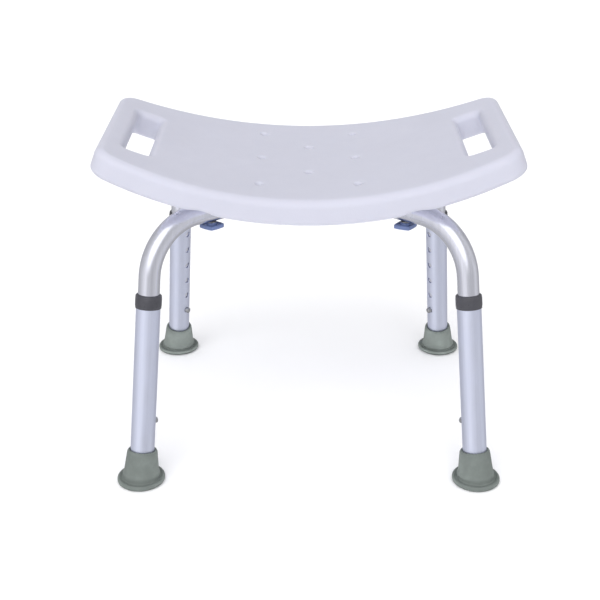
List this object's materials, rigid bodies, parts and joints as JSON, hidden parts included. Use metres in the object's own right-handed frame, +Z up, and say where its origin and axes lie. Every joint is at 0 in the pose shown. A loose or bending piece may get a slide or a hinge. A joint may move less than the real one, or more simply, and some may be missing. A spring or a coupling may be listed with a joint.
{
  "type": "shower stool",
  "caption": "Backless shower stool: curved moulded seat with hand-holes and drain holes on splayed telescopic aluminium legs with rubber feet.",
  "frame": {"origin": "on the floor under the middle of the seat, with the legs at their shortest", "axes": "+Z up, +X along the seat towards its right end, +Y towards the rear"},
  "size_m": [0.4968, 0.4138, 0.3941],
  "materials": {
    "white_hdpe": "satin blow-moulded polyethylene",
    "polished_aluminium": "polished and clear-anodised",
    "anodised_aluminium": "satin anodised",
    "dark_plastic": "moulded, lightly glossy",
    "grey_rubber": "matte moulded rubber",
    "blue_plastic": "moulded, lightly glossy",
    "zinc_steel": "zinc plated",
    "brass": "plain brass"
  },
  "bodies": {
    "root": {"seat_panel": "white_hdpe", "upper_leg_front_left": "polished_aluminium", "tube_end_plug_front_left": "dark_plastic", "button_spring_front_left": "zinc_steel", "seat_insert_front_left": "brass", "upper_leg_front_right": "polished_aluminium", "tube_end_plug_front_right": "dark_plastic", "button_spring_front_right": "zinc_steel", "seat_insert_front_right": "brass", "upper_leg_rear_left": "polished_aluminium", "tube_end_plug_rear_left": "dark_plastic", "button_spring_rear_left": "zinc_steel", "seat_insert_rear_left": "brass", "upper_leg_rear_right": "polished_aluminium", "tube_end_plug_rear_right": "dark_plastic", "button_spring_rear_right": "zinc_steel", "seat_insert_rear_right": "brass"},
    "extension_front_left": {"leg_extension_front_left": "anodised_aluminium", "leg_collar_front_left": "dark_plastic", "rubber_foot_front_left": "grey_rubber", "foot_washer_front_left": "zinc_steel"},
    "button_front_left": {"snap_button_front_left": "zinc_steel"},
    "washer_front_left": {"knob_washer_front_left": "zinc_steel"},
    "thumb_screw_front_left": {"knob_front_left": "blue_plastic", "knob_screw_front_left": "zinc_steel"},
    "extension_front_right": {"leg_extension_front_right": "anodised_aluminium", "leg_collar_front_right": "dark_plastic", "rubber_foot_front_right": "grey_rubber", "foot_washer_front_right": "zinc_steel"},
    "button_front_right": {"snap_button_front_right": "zinc_steel"},
    "washer_front_right": {"knob_washer_front_right": "zinc_steel"},
    "thumb_screw_front_right": {"knob_front_right": "blue_plastic", "knob_screw_front_right": "zinc_steel"},
    "extension_rear_left": {"leg_extension_rear_left": "anodised_aluminium", "leg_collar_rear_left": "dark_plastic", "rubber_foot_rear_left": "grey_rubber", "foot_washer_rear_left": "zinc_steel"},
    "button_rear_left": {"snap_button_rear_left": "zinc_steel"},
    "washer_rear_left": {"knob_washer_rear_left": "zinc_steel"},
    "thumb_screw_rear_left": {"knob_rear_left": "blue_plastic", "knob_screw_rear_left": "zinc_steel"},
    "extension_rear_right": {"leg_extension_rear_right": "anodised_aluminium", "leg_collar_rear_right": "dark_plastic", "rubber_foot_rear_right": "grey_rubber", "foot_washer_rear_right": "zinc_steel"},
    "button_rear_right": {"snap_button_rear_right": "zinc_steel"},
    "washer_rear_right": {"knob_washer_rear_right": "zinc_steel"},
    "thumb_screw_rear_right": {"knob_rear_right": "blue_plastic", "knob_screw_rear_right": "zinc_steel"}
  },
  "joints": [
    {"name": "leg_slide_front_left", "type": "slide", "parent": "root", "child": "extension_front_left", "axis": [-0.0696, -0.1815, -0.9809], "range_m": [0, 0.127], "deforming": ["snap_button_front_left"]},
    {"name": "button_press_front_left", "type": "slide", "parent": "root", "child": "button_front_left", "axis": [-0.7981, -0.5798, 0.1639], "range_m": [0, 0.0066], "stiffness_N_per_m": 2500, "springref_m": -0.002, "deforming": ["button_spring_front_left"]},
    {"name": "screw_travel_front_left", "type": "slide", "parent": "root", "child": "washer_front_left", "axis": [0, 0, -1], "range_m": [0, 0.012]},
    {"name": "screw_turn_front_left", "type": "hinge", "parent": "washer_front_left", "child": "thumb_screw_front_left", "pos_m": [-0.11518, -0.07327, 0.287], "axis": [0, 0, -1], "range_deg": [0, 4320]},
    {"name": "leg_slide_front_right", "type": "slide", "parent": "root", "child": "extension_front_right", "axis": [0.0696, -0.1815, -0.9809], "range_m": [0, 0.127], "deforming": ["snap_button_front_right"]},
    {"name": "button_press_front_right", "type": "slide", "parent": "root", "child": "button_front_right", "axis": [0.7981, -0.5798, 0.1639], "range_m": [0, 0.0066], "stiffness_N_per_m": 2500, "springref_m": -0.002, "deforming": ["button_spring_front_right"]},
    {"name": "screw_travel_front_right", "type": "slide", "parent": "root", "child": "washer_front_right", "axis": [0, 0, -1], "range_m": [0, 0.012]},
    {"name": "screw_turn_front_right", "type": "hinge", "parent": "washer_front_right", "child": "thumb_screw_front_right", "pos_m": [0.11518, -0.07327, 0.287], "axis": [0, 0, -1], "range_deg": [0, 4320]},
    {"name": "leg_slide_rear_left", "type": "slide", "parent": "root", "child": "extension_rear_left", "axis": [-0.0696, 0.1815, -0.9809], "range_m": [0, 0.127], "deforming": ["snap_button_rear_left"]},
    {"name": "button_press_rear_left", "type": "slide", "parent": "root", "child": "button_rear_left", "axis": [-0.7981, 0.5798, 0.1639], "range_m": [0, 0.0066], "stiffness_N_per_m": 2500, "springref_m": -0.002, "deforming": ["button_spring_rear_left"]},
    {"name": "screw_travel_rear_left", "type": "slide", "parent": "root", "child": "washer_rear_left", "axis": [0, 0, -1], "range_m": [0, 0.012]},
    {"name": "screw_turn_rear_left", "type": "hinge", "parent": "washer_rear_left", "child": "thumb_screw_rear_left", "pos_m": [-0.10358, 0.07327, 0.287], "axis": [0, 0, -1], "range_deg": [0, 4320]},
    {"name": "leg_slide_rear_right", "type": "slide", "parent": "root", "child": "extension_rear_right", "axis": [0.0696, 0.1815, -0.9809], "range_m": [0, 0.127], "deforming": ["snap_button_rear_right"]},
    {"name": "button_press_rear_right", "type": "slide", "parent": "root", "child": "button_rear_right", "axis": [0.7981, 0.5798, 0.1639], "range_m": [0, 0.0066], "stiffness_N_per_m": 2500, "springref_m": -0.002, "deforming": ["button_spring_rear_right"]},
    {"name": "screw_travel_rear_right", "type": "slide", "parent": "root", "child": "washer_rear_right", "axis": [0, 0, -1], "range_m": [0, 0.012]},
    {"name": "screw_turn_rear_right", "type": "hinge", "parent": "washer_rear_right", "child": "thumb_screw_rear_right", "pos_m": [0.10358, 0.07327, 0.287], "axis": [0, 0, -1], "range_deg": [0, 4320]}
  ],
  "couplings": [
    {"joint": "screw_turn_front_left", "follows": "screw_travel_front_left", "rad_per_m": 6283.2},
    {"joint": "screw_turn_front_right", "follows": "screw_travel_front_right", "rad_per_m": 6283.2},
    {"joint": "screw_turn_rear_left", "follows": "screw_travel_rear_left", "rad_per_m": 6283.2},
    {"joint": "screw_turn_rear_right", "follows": "screw_travel_rear_right", "rad_per_m": 6283.2}
  ]
}
